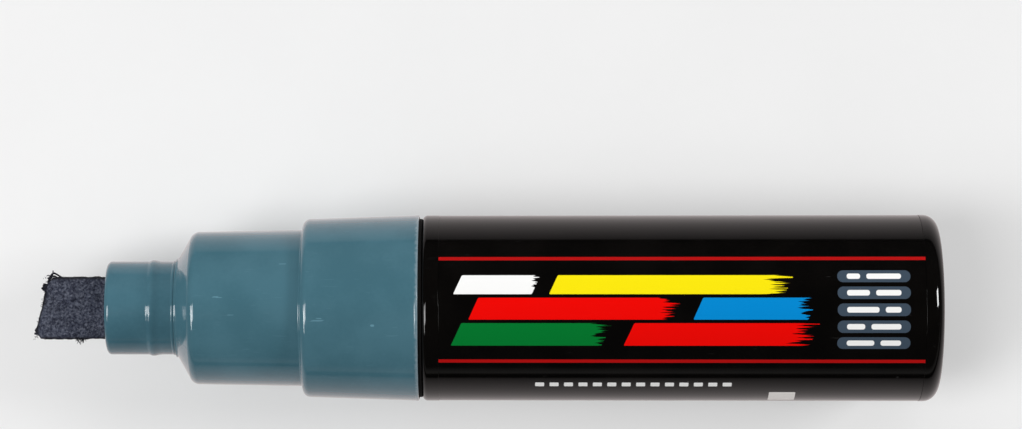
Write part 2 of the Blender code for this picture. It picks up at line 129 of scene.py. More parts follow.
# Steps between radii
HOLDER_STEP = 1.3
HOLDER_FIT = 0.2
HOLDER_WALL = 1.145
CHAMBER_ROOM = 0.3
NOSE_WALL = 2.5
NOSE_TAPER = 0.25
VALVE_ROOM = 0.9
SPIGOT_WALL = 1.73
SEAL_GROOVE = 0.97
SNAP_HEIGHT = 0.4
SNAP_ROOM = 0.3
LIP_FIT = 0.05
SEAM_DEPTH = 0.45
COLLAR_TAPER = 0.5
BARREL_TAPER = 0.1
BORE_FIT = 0.3
BORE_DRAFT = 0.15
FILM_SINK = 0.03
FILM_WALL = 0.12
FILM_ROOM = 0.05

# Radii
FLANGE_R = (holder_high.z - holder_low.z) / 2 / FACET_SHARE
HOLDER_R = FLANGE_R - HOLDER_STEP
HOLDER_HOLE_R = HOLDER_R + HOLDER_FIT
HOLDER_BORE_R = HOLDER_R - HOLDER_WALL
NIB_CHAMBER_R = FLANGE_R + CHAMBER_ROOM
NOSE_REAR_R = NIB_CHAMBER_R + NOSE_WALL
NOSE_FRONT_R = NOSE_REAR_R - NOSE_TAPER
VALVE_CHAMBER_R = NIB_CHAMBER_R + VALVE_ROOM
SPIGOT_R = VALVE_CHAMBER_R + SPIGOT_WALL
BARREL_REAR_R = (barrel_high.z - barrel_low.z) / 2 / FACET_SHARE


def barrel_radius(station):
    return BARREL_REAR_R - BARREL_TAPER * station / BARREL_FRONT


def bore_radius(station):
    return SPIGOT_R + BORE_FIT + BORE_DRAFT * (station - SPIGOT_END) / BARREL_FRONT


def film_radius(station):
    return barrel_radius(station) - FILM_SINK


def recess_radius(station):
    return film_radius(station) - FILM_WALL - FILM_ROOM


COLLAR_REAR_R = barrel_radius(BARREL_FRONT)
COLLAR_FRONT_R = COLLAR_REAR_R - COLLAR_TAPER
SEAM_R = COLLAR_REAR_R - SEAM_DEPTH

# Roundings of the turned edges
SHARP = 0
CRISP = 0.02
BASE_ROUND = 1.0
MOUTH_ROUND = 0.2
BARREL_FRONT_ROUND = 0.65
BARREL_REAR_ROUND = 1.85
NOSE_ROUND = 0.65
NOSE_FOOT_ROUND = 0.25
COLLAR_ROUND = 0.9
HOLDER_ROUND = 0.6

# Small turned forms, corner by corner: how far ahead of a station, how high over a shell, and the rounding
LIP_FORM = ((0, LIP_FIT, CRISP), (0, 0.36, 0.1), (-0.3, 0.38, 0.05))
RIM_FORM = ((0.45, -0.01, SHARP), (0.35, 0.03, 0.04), (0, 0.03, 0.16))
BEAD_FORM = ((0.55, 0, 0.06), (0.12, 0.17, 0.1), (-0.2, 0.17, 0.12), (-0.95, 0, 0.3))
RING_FORM = ((0.12, 0, SHARP), (0, 0.09, 0.08), (-0.24, 0.09, 0.03), (-0.26, 0, SHARP))

# Nib: its cut, its slot, its softened edges, and the name, size, height and middle of its lumps and tufts
NIB_WIDTH = nib_high.y - nib_low.y
NIB_THICKNESS = nib_high.z - nib_low.z
NIB_SLANT = 1.6
SLOT_ROOM = 0.2
CUT_PAST = 1.0
PICK_MARGIN = 0.1
CORNER_CUT = 0.8
FELT_EDGE = 0.25
FELT_EDGE_STEPS = 3
FELT_RELIEF = (("felt_lumps", 1.4, 0.42, 0.55), ("felt_tufts", 0.35, 0.14, 0.6))

# Loose fibres: how they are laid, and where the longer ones stand
FIBRE_R = 0.035
FIBRE_ROOT = 0.15
FIBRE_TAPER = 0.6
FIBRE_BENDS = 5
FIBRE_DRIFT = 0.55
FIBRE_SEED = 11
FRONT_FIBRES = 150
FLANK_FIBRES = 220
FLANK_START = 1.2
PRESS_ROOM = 2.9
FRONT_YAW, FRONT_PITCH, FRONT_LENGTHS = (-0.6, 0.6), (-0.5, 0.5), (0.15, 0.5)
FLANK_YAW, FLANK_PITCH, FLANK_LENGTHS = (-0.8, 0.8), (-0.5, 0.5), (0.1, 0.4)
FLANK_DEPTH, FLANK_HEIGHTS, FLANK_THICKNESS = 0.05, (-2.4, 2.4), 0.8
CLUMP_YAW, CLUMP_PITCH, CLUMP_SHARES = (-1.2, 0.3), (-0.3, 0.3), (0.4, 1.0)
CLUMP_DEPTH, CLUMP_HEIGHTS, CLUMP_THICKNESS = 0.1, (-2.0, 2.4), 1.4
CLUMP_SPREAD = (-0.6, 0.3)
# Side, place behind the tip, count and length
CLUMPS = ((-1, 6.0, 34, 1.25), (1, 6.0, 16, 0.45), (-1, 3.6, 9, 0.35))
# Thickness, and points from the short corner
CORNER_LOOPS = (
    (
        5.0,
        (
            (0.1, -0.75, 0),
            (0.25, -0.15, 0),
            (0.5, 0.3, 0.1),
            (0.8, 0.6, 0.1),
            (1.15, 0.4, 0),
            (1.7, 0.1, 0),
            (2.2, -0.3, 0),
        ),
    ),
    (4.4, ((0.05, -0.6, 0), (0.35, -0.1, 0.1), (0.75, 0.2, 0.2), (1.1, 0.1, 0.1), (1.6, -0.25, 0))),
    (3.6, ((0.35, -0.3, 0), (0.5, 0.2, 0), (0.75, 0.5, 0.1), (0.7, 0.9, 0.1))),
    (2.6, ((0.5, -0.2, 0.2), (0.3, 0.2, 0.2), (0.1, 0.3, 0.1), (-0.1, 0.2, 0.1))),
)
# Share of the front edge, and length
TAGS = ((0.84, 0.75), (0.82, 0.65), (0.86, 0.6), (0.8, 0.5), (0.12, 0.5), (0.09, 0.45), (0.15, 0.4))
TAG_HEIGHTS = (-0.6, -0.2, 0.2, 0.6)
TAG_THICKNESS = 7.0
TAG_HEADING = Vector((-1, 0.15, 0.1))

# Spring
WIRE_R = 0.25
SPRING_R = 2.45
SPRING_TURNS = 8.5
CLOSED_PITCH = 2.3 * WIRE_R

# Fineness of the meshes
SHELL_STEPS = 160
ROUND_STEPS = 8
COIL_STEPS = 34
WIRE_ROUNDNESS = 3
FIBRE_STEPS = 3
SMOOTH_ANGLE = 28
WIRE_SMOOTH_ANGLE = 40
SEED_SIZE = 0.1
MERGE = 0.0005
FELT_VOXEL = 0.13


def spot(station, radius):
    """The point straight over the axis at a station and a radius."""
    return Vector(((REAR_X - station) * MM, 0.0, (AXIS_Z + radius * FACET_SHARE) * MM))


# Modelling by hand


def clear_selection():
    if bpy.context.object and bpy.context.object.mode != "OBJECT":
        bpy.ops.object.mode_set(mode="OBJECT")
    bpy.ops.object.select_all(action="DESELECT")


def activate(piece):
    """Makes a piece the active one, and the only one selected."""
    clear_selection()
    piece.select_set(True)
    bpy.context.view_layer.objects.active = piece


def start(name):
    """Names the primitive that was just added and puts its place into its mesh."""
    piece = bpy.context.object
    piece.name = name
    piece.data.name = name
    bpy.ops.object.transform_apply(location=True, rotation=True, scale=True)
    return piece


def pick_points(piece, places):
    """Selects, in edit mode, the points of a mesh that lie at these places."""
    bpy.ops.mesh.select_mode(type="VERT")
    bpy.ops.mesh.select_all(action="DESELECT")
    shape = bmesh.from_edit_mesh(piece.data)
    for vert in shape.verts:
        vert.select = any((vert.co - place).length < MERGE * MM for place in places)
    shape.select_flush(True)
    bmesh.update_edit_mesh(piece.data)


def pick_edges(piece, wanted):
    """Selects, in edit mode, the edges of a mesh whose two ends pass a test in millimetres."""
    bpy.ops.mesh.select_mode(type="EDGE")
    bpy.ops.mesh.select_all(action="DESELECT")
    shape = bmesh.from_edit_mesh(piece.data)
    for edge in shape.edges:
        edge.select = wanted(*(vert.co / MM for vert in edge.verts))
    bmesh.update_edit_mesh(piece.data)


def use(piece, kind, **settings):
    """Adds a modifier and applies it."""
    modifier = piece.modifiers.new(kind.title(), kind)
    for key, value in settings.items():
        setattr(modifier, key, value)
    bpy.context.view_layer.objects.active = piece
    bpy.ops.object.modifier_apply(modifier=modifier.name)


def smooth_shaded(piece):
    """Smooth shading in which the long faces keep their own normals beside the small roundings."""
    activate(piece)
    bpy.ops.object.shade_smooth_by_angle(angle=math.radians(SMOOTH_ANGLE))
    use(piece, "WEIGHTED_NORMAL", keep_sharp=True)


def turned(name, corners, closed):
    """A lathe piece: one point is extruded round the corners of an outline, rounded there, and spun.

    A corner is a station, a radius and a rounding.
    """
    places = [spot(station, radius) for station, radius, _ in corners]
    roundings = [rounding for _, _, rounding in corners]
    clear_selection()
    bpy.ops.mesh.primitive_plane_add(size=SEED_SIZE * MM, location=places[0])
    piece = start(name)
    bpy.ops.object.mode_set(mode="EDIT")
    bpy.ops.mesh.select_all(action="SELECT")
    bpy.ops.mesh.merge(type="CENTER")
    for here, there in zip(places, places[1:]):
        bpy.ops.mesh.extrude_region_move(TRANSFORM_OT_translate={"value": there - here})
    if closed:
        pick_points(piece, [places[0], places[-1]])
        bpy.ops.mesh.edge_face_add()
    for size in sorted(set(roundings) - {SHARP}):
        pick_points(piece, [place for place, rounding in zip(places, roundings) if rounding == size])
        bpy.ops.mesh.bevel(
            offset=size * MM, offset_type="OFFSET", segments=ROUND_STEPS, affect="VERTICES"
        )
    bpy.ops.mesh.select_all(action="SELECT")
    bpy.ops.mesh.spin(steps=SHELL_STEPS, angle=math.tau, center=spot(0, 0), axis=(1, 0, 0))
    bpy.ops.mesh.select_all(action="SELECT")
    bpy.ops.mesh.remove_doubles(threshold=MERGE * MM)
    bpy.ops.mesh.normals_make_consistent(inside=False)
    bpy.ops.object.mode_set(mode="OBJECT")
    smooth_shaded(piece)
    return piece


def raised(station, radius, form):
    """The corners of a small form that stands on a shell."""
    return [(station + ahead, radius + height, rounding) for ahead, height, rounding in form]


def block(name, low, high):
    """A box between two corners, given in millimetres."""
    clear_selection()
    middle = (Vector(low) + Vector(high)) / 2 * MM
    bpy.ops.mesh.primitive_cube_add(size=1.0, location=middle)
    bpy.context.object.scale = (Vector(high) - Vector(low)) * MM
    return start(name)


def new_curve(name, radius, roundness):
    """A round wire, still without its lines."""
    curve = bpy.data.curves.new(name, "CURVE")
    curve.dimensions = "3D"
    curve.bevel_depth = radius * MM
    curve.bevel_resolution = roundness
    curve.use_fill_caps = True
    return curve


def as_mesh(name, curve):
    """A mesh piece made from a curve."""
    item = bpy.data.objects.new(name, curve)
    bpy.context.scene.collection.objects.link(item)
    activate(item)
    bpy.ops.object.convert(target="MESH")
    return bpy.context.object


def barrel_shell():
    """The paint tube, closed at the rear, with a recess for the film and a groove for the snap bead."""
    groove_front = SNAP_STATION + SNAP_HALF + SNAP_ROOM
    groove_rear = SNAP_STATION - SNAP_HALF - SNAP_ROOM
    groove_r = SPIGOT_R + SNAP_HEIGHT + SNAP_ROOM
    slope_front = groove_front + SNAP_SLOPE
    slope_rear = groove_rear - SNAP_SLOPE
    recess_front = FILM_FRONT + FILM_END_ROOM
    recess_rear = FILM_REAR - FILM_END_ROOM
    corners = [
        (BASE_WALL, 0, SHARP),
        (BASE_WALL, bore_radius(BASE_WALL), BASE_ROUND),
        (slope_rear, bore_radius(slope_rear), SHARP),
        (groove_rear, groove_r, SHARP),
        (groove_front, groove_r, SHARP),
        (slope_front, bore_radius(slope_front), SHARP),
        (BARREL_FRONT, bore_radius(BARREL_FRONT), MOUTH_ROUND),
        (BARREL_FRONT, barrel_radius(BARREL_FRONT), BARREL_FRONT_ROUND),
        (recess_front, barrel_radius(recess_front), CRISP),
        (recess_front, recess_radius(recess_front), SHARP),
        (recess_rear, recess_radius(recess_rear), SHARP),
        (recess_rear, barrel_radius(recess_rear), CRISP),
        (0, barrel_radius(0), BARREL_REAR_ROUND),
        (0, 0, SHARP),
    ]
    return turned("barrel_shell", corners, closed=False)


def printed_film():
    corners = [
        (FILM_FRONT, film_radius(FILM_FRONT), CRISP),
        (FILM_REAR, film_radius(FILM_REAR), CRISP),
        (FILM_REAR, film_radius(FILM_REAR) - FILM_WALL, SHARP),
        (FILM_FRONT, film_radius(FILM_FRONT) - FILM_WALL, SHARP),
    ]
    return turned("printed_film", corners, closed=True)


def grip_front():
    """Cone, nose, grip collar and the spigot that plugs into the barrel."""
    snap_front = SNAP_STATION + SNAP_HALF
    snap_rear = SNAP_STATION - SNAP_HALF
    snap_r = SPIGOT_R + SNAP_HEIGHT
    seal_front = SEAL_STATION + SEAL_HALF
    seal_rear = SEAL_STATION - SEAL_HALF
    groove_r = SPIGOT_R - SEAL_GROOVE
    throat = LIP_FACE - LIP_WALL
    seam = BARREL_FRONT + SEAM_ROOM
    corners = [
        *raised(LIP_FACE + LIP_REACH, HOLDER_R, LIP_FORM),
        (NOSE_FRONT + NOSE_BLEND, NOSE_FRONT_R, NOSE_ROUND),
        (COLLAR_FRONT, NOSE_REAR_R, NOSE_FOOT_ROUND),
        (COLLAR_FRONT, COLLAR_FRONT_R, COLLAR_ROUND),
        *raised(RIM_STATION, COLLAR_REAR_R, RIM_FORM),
        (RIM_STATION, SEAM_R, SHARP),
        (seam, SEAM_R, SHARP),
        (seam, SPIGOT_R, SHARP),
        (snap_front + SNAP_SLOPE, SPIGOT_R, SHARP),
        (snap_front, snap_r, SHARP),
        (snap_rear, snap_r, SHARP),
        (snap_rear - SNAP_SLOPE, SPIGOT_R, SHARP),
        (seal_front, SPIGOT_R, SHARP),
        (seal_front, groove_r, SHARP),
        (seal_rear, groove_r, SHARP),
        (seal_rear, SPIGOT_R, SHARP),
        (SPIGOT_END + SPIGOT_CHAMFER, SPIGOT_R, SHARP),
        (SPIGOT_END, SPIGOT_R - SPIGOT_CHAMFER, SHARP),
        (SPIGOT_END, VALVE_CHAMBER_R, SHARP),
        (VALVE_SEAT, VALVE_CHAMBER_R, SHARP),
        (VALVE_SEAT, NIB_CHAMBER_R, SHARP),
        (NOSE_INSIDE, NIB_CHAMBER_R, SHARP),
        (NOSE_INSIDE, HOLDER_HOLE_R, SHARP),
        (throat, HOLDER_HOLE_R, SHARP),
        (throat, HOLDER_R + LIP_FIT, SHARP),
    ]
    return turned("grip_front", corners, closed=True)


def nib_holder():
    """The tube round the nib, with the bead that a cap seals on and a small ring at the cone's lip."""
    inside = HOLDER_FRONT - HOLDER_FACE
    corners = [
        (HOLDER_FRONT, 0, SHARP),
        (HOLDER_FRONT, HOLDER_R, HOLDER_ROUND),
        *raised(CAP_BEAD, HOLDER_R, BEAD_FORM),
        *raised(LIP_FACE + RING_REACH, HOLDER_R, RING_FORM),
        (FLANGE_FRONT, HOLDER_R, SHARP),
        (FLANGE_FRONT, FLANGE_R, SHARP),
        (FLANGE_REAR, FLANGE_R, SHARP),
        (FLANGE_REAR, HOLDER_BORE_R, SHARP),
        (inside, HOLDER_BORE_R, SHARP),
        (inside, 0, SHARP),
    ]
    piece = turned("nib_holder", corners, closed=False)
    half_y = NIB_WIDTH / 2 + SLOT_ROOM
    half_z = NIB_THICKNESS / 2 + SLOT_ROOM
    front_x = REAR_X - HOLDER_FRONT
    low = (front_x - CUT_PAST, -half_y, AXIS_Z - half_z)
    high = (front_x + HOLDER_FACE + CUT_PAST, half_y, AXIS_Z + half_z)
    slot = block("slot_cutter", low, high)
    use(piece, "BOOLEAN", object=slot, operation="DIFFERENCE", solver="EXACT")
    bpy.data.objects.remove(slot, do_unlink=True)
    smooth_shaded(piece)
    return piece


def felt_nib():
    """A felt bar cut on the slant, remeshed and roughened like pressed fibre."""
    half_y = NIB_WIDTH / 2
    half_z = NIB_THICKNESS / 2
    tip_x = REAR_X - NIB_TIP
    low = (tip_x - CUT_PAST, -half_y, AXIS_Z - half_z)
    high = (REAR_X - NIB_REAR, half_y, AXIS_Z + half_z)
    piece = block("felt_nib", low, high)
    bpy.ops.object.mode_set(mode="EDIT")
    bpy.ops.mesh.select_all(action="SELECT")
    bpy.ops.mesh.bisect(
        plane_co=Vector((tip_x, -half_y, AXIS_Z)) * MM,
        plane_no=Vector((NIB_WIDTH, -NIB_SLANT, 0)).normalized(),
        use_fill=True,
        clear_inner=True,
    )
    front = tip_x + NIB_SLANT + PICK_MARGIN
    pick_edges(piece, lambda one, two: max(one.x, two.x) < front and abs(one.z - two.z) > half_z)
    bpy.ops.mesh.bevel(offset=CORNER_CUT * MM, segments=1, affect="EDGES")
    bpy.ops.mesh.select_all(action="SELECT")
    bpy.ops.mesh.bevel(offset=FELT_EDGE * MM, segments=FELT_EDGE_STEPS, affect="EDGES")
    bpy.ops.mesh.select_all(action="SELECT")
    bpy.ops.mesh.normals_make_consistent(inside=False)
    bpy.ops.object.mode_set(mode="OBJECT")
    use(piece, "REMESH", mode="VOXEL", voxel_size=FELT_VOXEL * MM)
    for name, size, height, middle in FELT_RELIEF:
        relief = bpy.data.textures.new(name, "CLOUDS")
        relief.noise_scale = size * MM
        use(
            piece,
            "DISPLACE",
            texture=relief,
            texture_coords="LOCAL",
            strength=height * MM,
            mid_level=middle,
        )
    activate(piece)
    bpy.ops.object.shade_smooth()
    return piece


def nib_edge(share, side):
    """A point on the nib's slanted front edge, with share 0 at the long corner and 1 at the short one."""
    half_y = NIB_WIDTH / 2
    y = -half_y + NIB_WIDTH * share
    x = REAR_X - NIB_TIP + NIB_SLANT * share
    return Vector((x, y, AXIS_Z + side * NIB_THICKNESS / 2))


def nib_flank(x, side, depth, height):
    """A point a little under the nib's left or right flank."""
    return Vector((x, side * (NIB_WIDTH / 2 - depth), AXIS_Z + height))


class FibreBundle:
    """Loose fibres of the nib, laid one by one."""

    def __init__(self, name):
        self.draw = random.Random(FIBRE_SEED)
        self.curve = new_curve(name, FIBRE_R, 0)

    def lay(self, points, thickness):
        """A fibre through these points, thinner towards its end."""
        line = self.curve.splines.new("NURBS")
        line.points.add(len(points) - 1)
        for number, (end, place) in enumerate(zip(line.points, points)):
            end.co = (*(place * MM), 1.0)
            end.radius = thickness * (1.0 - FIBRE_TAPER * number / len(points))
        line.use_endpoint_u = True
        line.order_u = 3
        line.resolution_u = FIBRE_STEPS

    def grow(self, root, outward, length, thickness):
        """A fibre that wanders from its root."""
        heading = outward.normalized()
        points = [root - heading * FIBRE_ROOT]
        for _ in range(FIBRE_BENDS):
            drift = Vector([self.draw.uniform(-1, 1) for _ in range(3)])
            heading = (heading + drift * FIBRE_DRIFT).normalized()
            points.append(points[-1] + heading * length / FIBRE_BENDS)
        self.lay(points, thickness)


def fringe(bundle):
    """Short fibres along the nib's front and flanks, clear of the holder when the nib is pressed in."""
    draw = bundle.draw
    for _ in range(FRONT_FIBRES):
        share = draw.random()
        root = nib_edge(share, draw.uniform(-1, 1))
        outward = Vector((-1, draw.uniform(*FRONT_YAW), draw.uniform(*FRONT_PITCH)))
        bundle.grow(root, outward, draw.uniform(*FRONT_LENGTHS), 1.0)
    first = REAR_X - NIB_TIP + FLANK_START
    last = REAR_X - HOLDER_FRONT - PRESS_ROOM
    for _ in range(FLANK_FIBRES):
        side = draw.choice((-1, 1))
        x = draw.uniform(first, last)
        root = nib_flank(x, side, FLANK_DEPTH, draw.uniform(*FLANK_HEIGHTS))
        outward = Vector((draw.uniform(*FLANK_YAW), side, draw.uniform(*FLANK_PITCH)))
        bundle.grow(root, outward, draw.uniform(*FLANK_LENGTHS), FLANK_THICKNESS)


def clumps(bundle):
    """Longer fibres that stand off the flanks in tufts."""
    draw = bundle.draw
    for side, middle, count, reach in CLUMPS:
        for _ in range(count):
            x = REAR_X - NIB_TIP + middle + draw.uniform(*CLUMP_SPREAD)
            root = nib_flank(x, side, CLUMP_DEPTH, draw.uniform(*CLUMP_HEIGHTS))
            outward = Vector((draw.uniform(*CLUMP_YAW), side, draw.uniform(*CLUMP_PITCH)))
            bundle.grow(root, outward, reach * draw.uniform(*CLUMP_SHARES), CLUMP_THICKNESS)


def corner_tags(bundle):
    """Torn loops at the nib's short corner, and thick tags on its front edge."""
    corner = nib_edge(1.0, 0.6)
    for thickness, points in CORNER_LOOPS:
        bundle.lay([corner + Vector(point) for point in points], thickness)
    for share, reach in TAGS:
        for height in TAG_HEIGHTS:
            bundle.grow(nib_edge(share, height), TAG_HEADING, reach, TAG_THICKNESS)


def frayed_fibres():
    bundle = FibreBundle("frayed_fibres")
    fringe(bundle)
    clumps(bundle)
    corner_tags(bundle)
    return as_mesh("frayed_fibres", bundle.curve)


def wound_spring():
    """The valve spring with a closed coil at each end."""
    curve = new_curve("wound_spring", WIRE_R, WIRE_ROUNDNESS)
    steps = int(SPRING_TURNS * COIL_STEPS)
    line = curve.splines.new("POLY")
    line.points.add(steps)
    low, high = SPRING_REAR + WIRE_R, SPRING_FRONT - WIRE_R
    open_length = high - low - 2 * CLOSED_PITCH
    for step, end in enumerate(line.points):
        turn = SPRING_TURNS * step / steps
        angle = math.tau * turn
        rear_part = min(turn, 1.0)
        front_part = max(turn - (SPRING_TURNS - 1.0), 0.0)
        middle_part = turn - rear_part - front_part
        station = low + CLOSED_PITCH * (rear_part + front_part)
        station += open_length * middle_part / (SPRING_TURNS - 2.0)
        x = REAR_X - station
        y = SPRING_R * math.sin(angle)
        z = AXIS_Z + SPRING_R * math.cos(angle)
        end.co = (x * MM, y * MM, z * MM, 1.0)
    piece = as_mesh("wound_spring", curve)
    bpy.ops.object.shade_smooth_by_angle(angle=math.radians(WIRE_SMOOTH_ANGLE))
    return piece


# Wiring of materials


class Wiring:
    """Short calls that add and link nodes in one tree."""

    def __init__(self, tree):
        self.tree = tree

    def add(self, kind, inputs=None, **settings):
        made = self.tree.nodes.new("ShaderNode" + kind)
        for key, value in settings.items():
            setattr(made, key, value)
        for slot, value in (inputs or {}).items():
            self.join(value, made.inputs[slot])
        return made

    def join(self, value, socket):
        if isinstance(value, bpy.types.NodeSocket):
            self.tree.links.new(value, socket)
        else:
            socket.default_value = value

    def math(self, operation, *values):
        made = self.add("Math", operation=operation)
        for socket, value in zip(made.inputs, values):
            self.join(value, socket)
        return made.outputs[0]

    def plus(self, one, two):
        return self.math("ADD", one, two)

    def minus(self, one, two):
        return self.math("SUBTRACT", one, two)

    def times(self, one, two):
        return self.math("MULTIPLY", one, two)

    def larger(self, one, two):
        return self.math("MAXIMUM", one, two)

    def diagonal(self, one, two):
        """The long side of a right-angled triangle."""
        squares = [self.math("POWER", side, 2.0) for side in (one, two)]
        return self.math("SQRT", self.plus(*squares))

    def ramp(self, value, low, high, to_low=0.0, to_high=1.0):
        """A smooth step of a value between two limits."""
        inputs = {"Value": value, "From Min": low, "From Max": high, "To Min": to_low, "To Max": to_high}
        made = self.add("MapRange", inputs, interpolation_type="SMOOTHSTEP")
        return made.outputs["Result"]

    def noise(self, vector, scale, detail=3.0, rough=0.5):
        inputs = {"Vector": vector, "Scale": scale, "Detail": detail, "Roughness": rough}
        made = self.add("TexNoise", inputs)
        return made.outputs["Fac"]

    def mix(self, share, first, second):
        made = self.add("Mix", data_type="RGBA")
        self.join(share, made.inputs["Factor"])
        colours = [socket for socket in made.inputs if socket.type == "RGBA"]
        for socket, value in zip(colours, (first, second)):
            self.join(value if isinstance(value, bpy.types.NodeSocket) else (*value, 1.0), socket)
        return [socket for socket in made.outputs if socket.type == "RGBA"][0]

    def stretched(self, vector, scale, turn=(0, 0, 0)):
        made = self.add("Mapping", {"Vector": vector, "Scale": scale, "Rotation": turn})
        return made.outputs["Vector"]


# The parts of a noise's range in which most and nearly all of it lies
MOST = (0.3, 0.7)
NEARLY_ALL = (0.2, 0.8)

# Turn and stretch of the two directions of scratches, and the size of the patches they come in
SCRATCH_RUNS = (((0, 0.3, 0.5), (250, 5200, 5200)), ((0.4, 0.1, -1.1), (300, 6100, 6100)))
SCRATCH_PATCH = (170, 170, 170)
PRINT_BLUR = 0.03


def new_group(name, inputs, outputs):
    """A shader node group with float inputs, or vector ones where the name ends in Place."""
    group = bpy.data.node_groups.new(name, "ShaderNodeTree")
    for label in inputs:
        kind = "NodeSocketVector" if label.endswith("Place") else "NodeSocketFloat"
        group.interface.new_socket(label, in_out="INPUT", socket_type=kind)
    for label in outputs:
        group.interface.new_socket(label, in_out="OUTPUT", socket_type="NodeSocketFloat")
    wiring = Wiring(group)
    entry = group.nodes.new("NodeGroupInput")
    leave = group.nodes.new("NodeGroupOutput")
    return group, wiring, entry.outputs, leave.inputs


def scratches_group():
    """Fine rubbed scratches in two directions."""
    group, wiring, entry, leave = new_group("handling_scratches", ["Place", "Cover"], ["Mask"])
    lines = []
    for turn, size in SCRATCH_RUNS:
        streak = wiring.noise(wiring.stretched(entry["Place"], size, turn), 1.0, 2.0)
        patch = wiring.noise(wiring.stretched(entry["Place"], SCRATCH_PATCH, turn), 1.0, 1.0)
        level = wiring.minus(0.86, wiring.times(entry["Cover"], patch))
        lines.append(wiring.ramp(wiring.minus(streak, level), 0.0, 0.05))
    wiring.join(wiring.larger(*lines), leave["Mask"])
    return group


def dust_group():
    """Sparse small specks."""
    group, wiring, entry, leave = new_group("settled_dust", ["Place", "Scale", "Cover"], ["Mask"])
    cells = wiring.add("TexVoronoi", {"Vector": entry["Place"], "Scale": entry["Scale"]})
    lot = wiring.add("SeparateColor", {"Color": cells.outputs["Color"]}).outputs[0]
    chosen = wiring.math("LESS_THAN", lot, entry["Cover"])
    size = wiring.plus(wiring.times(lot, 0.6), 0.08)
    near = wiring.ramp(cells.outputs["Distance"], size, 0.0)
    wiring.join(wiring.times(chosen, near), leave["Mask"])
    return group


def mottle_group():
    """Slow variation of a moulded surface with a little fine grain."""
    group, wiring, entry, leave = new_group("moulding_mottle", ["Place", "Scale", "Grain"], ["Value"])
    slow = wiring.noise(entry["Place"], entry["Scale"], 2.0)
    fine = wiring.noise(entry["Place"], wiring.times(entry["Scale"], 14.0), 3.0)
    grain = wiring.times(wiring.minus(fine, 0.5), entry["Grain"])
    wiring.join(wiring.plus(slow, grain), leave["Value"])
    return group


def patch_group():
    """A printed patch with slanted ends and rounded corners, in millimetres along and round the film."""
    inputs = ["Along", "Around", "Start", "End", "Middle", "Half Width", "Slant", "Corner"]
    group, wiring, entry, leave = new_group("printed_patch", inputs, ["Mask"])
    across = wiring.minus(entry["Around"], entry["Middle"])
    leaned = wiring.minus(entry["Along"], wiring.times(across, entry["Slant"]))
    centre = wiring.times(wiring.plus(entry["Start"], entry["End"]), 0.5)
    half = wiring.times(wiring.minus(entry["End"], entry["Start"]), 0.5)
    out = []
    for offset, reach in ((wiring.minus(leaned, centre), half), (across, entry["Half Width"])):
        inner = wiring.minus(reach, entry["Corner"])
        out.append(wiring.minus(wiring.math("ABSOLUTE", offset), inner))
    corner = wiring.diagonal(*[wiring.larger(side, 0.0) for side in out])
    inside = wiring.math("MINIMUM", wiring.larger(*out), 0.0)
    gap = wiring.minus(wiring.plus(corner, inside), entry["Corner"])
    wiring.join(wiring.ramp(gap, PRINT_BLUR, -PRINT_BLUR), leave["Mask"])
    return group


SCRATCHES = scratches_group()
DUST = dust_group()
MOTTLE = mottle_group()
PATCH = patch_group()


def effect(wiring, group, inputs):
    made = wiring.tree.nodes.new("ShaderNodeGroup")
    made.node_tree = group
    for slot, value in inputs.items():
        wiring.join(value, made.inputs[slot])
    return made.outputs[0]


def patch_mask(wiring, along, around, start, end, middle, half, slant, corner):
    inputs = {"Along": along, "Around": around, "Start": start, "End": end, "Middle": middle}
    inputs.update({"Half Width": half, "Slant": slant, "Corner": corner})
    return effect(wiring, PATCH, inputs)


def blank(name):
    """A new material: its wiring, its shader and the Object coordinates."""
    made = bpy.data.materials.new(name)
    made.use_nodes = True
    wiring = Wiring(made.node_tree)
    shader = made.node_tree.nodes["Principled BSDF"]
    place = wiring.add("TexCoord").outputs["Object"]
    return made, wiring, shader, place


def paint(wiring, shader, colour, roughness):
    wiring.join(colour, shader.inputs["Base Color"])
    wiring.join(roughness, shader.inputs["Roughness"])


def bump(wiring, shader, height, distance, strength=1.0):
    """Fine relief, with its distance in millimetres."""
    made = wiring.add("Bump", {"Height": height, "Distance": distance * MM, "Strength": strength})
    wiring.join(made.outputs["Normal"], shader.inputs["Normal"])


def from_the_axis(wiring, place):
    """The three Object coordinates in metres, with height counted from the marker's axis."""
    centred = wiring.add("Mapping", {"Vector": place, "Location": (0, 0, -AXIS_Z * MM)}).outputs["Vector"]
    return wiring.add("SeparateXYZ", {"Vector": centred}).outputs


def unrolled(wiring, parts, radius):
    """Millimetres towards the rear end, and round a shell of this radius."""
    along = wiring.times(parts["X"], 1 / MM)
    turn = wiring.math("ARCTAN2", parts["Y"], parts["Z"])
    return along, wiring.times(turn, radius * FACET_SHARE)


# Colours as a darker and a lighter shade
FRONT_SLATE = ((0.050, 0.133, 0.172), (0.062, 0.155, 0.199))
HOLDER_SLATE = ((0.045, 0.120, 0.158), (0.060, 0.150, 0.194))
BLACK = ((0.0012, 0.0010, 0.0009), (0.0022, 0.0018, 0.0016))
FELT = ((0.018, 0.021, 0.036), (0.046, 0.052, 0.078))
FIBRE = ((0.005, 0.005, 0.009), (0.03, 0.034, 0.05))
RUBBER = ((0.012, 0.012, 0.012), (0.03, 0.03, 0.03))
STEEL = ((0.5, 0.5, 0.52), (0.66, 0.66, 0.68))

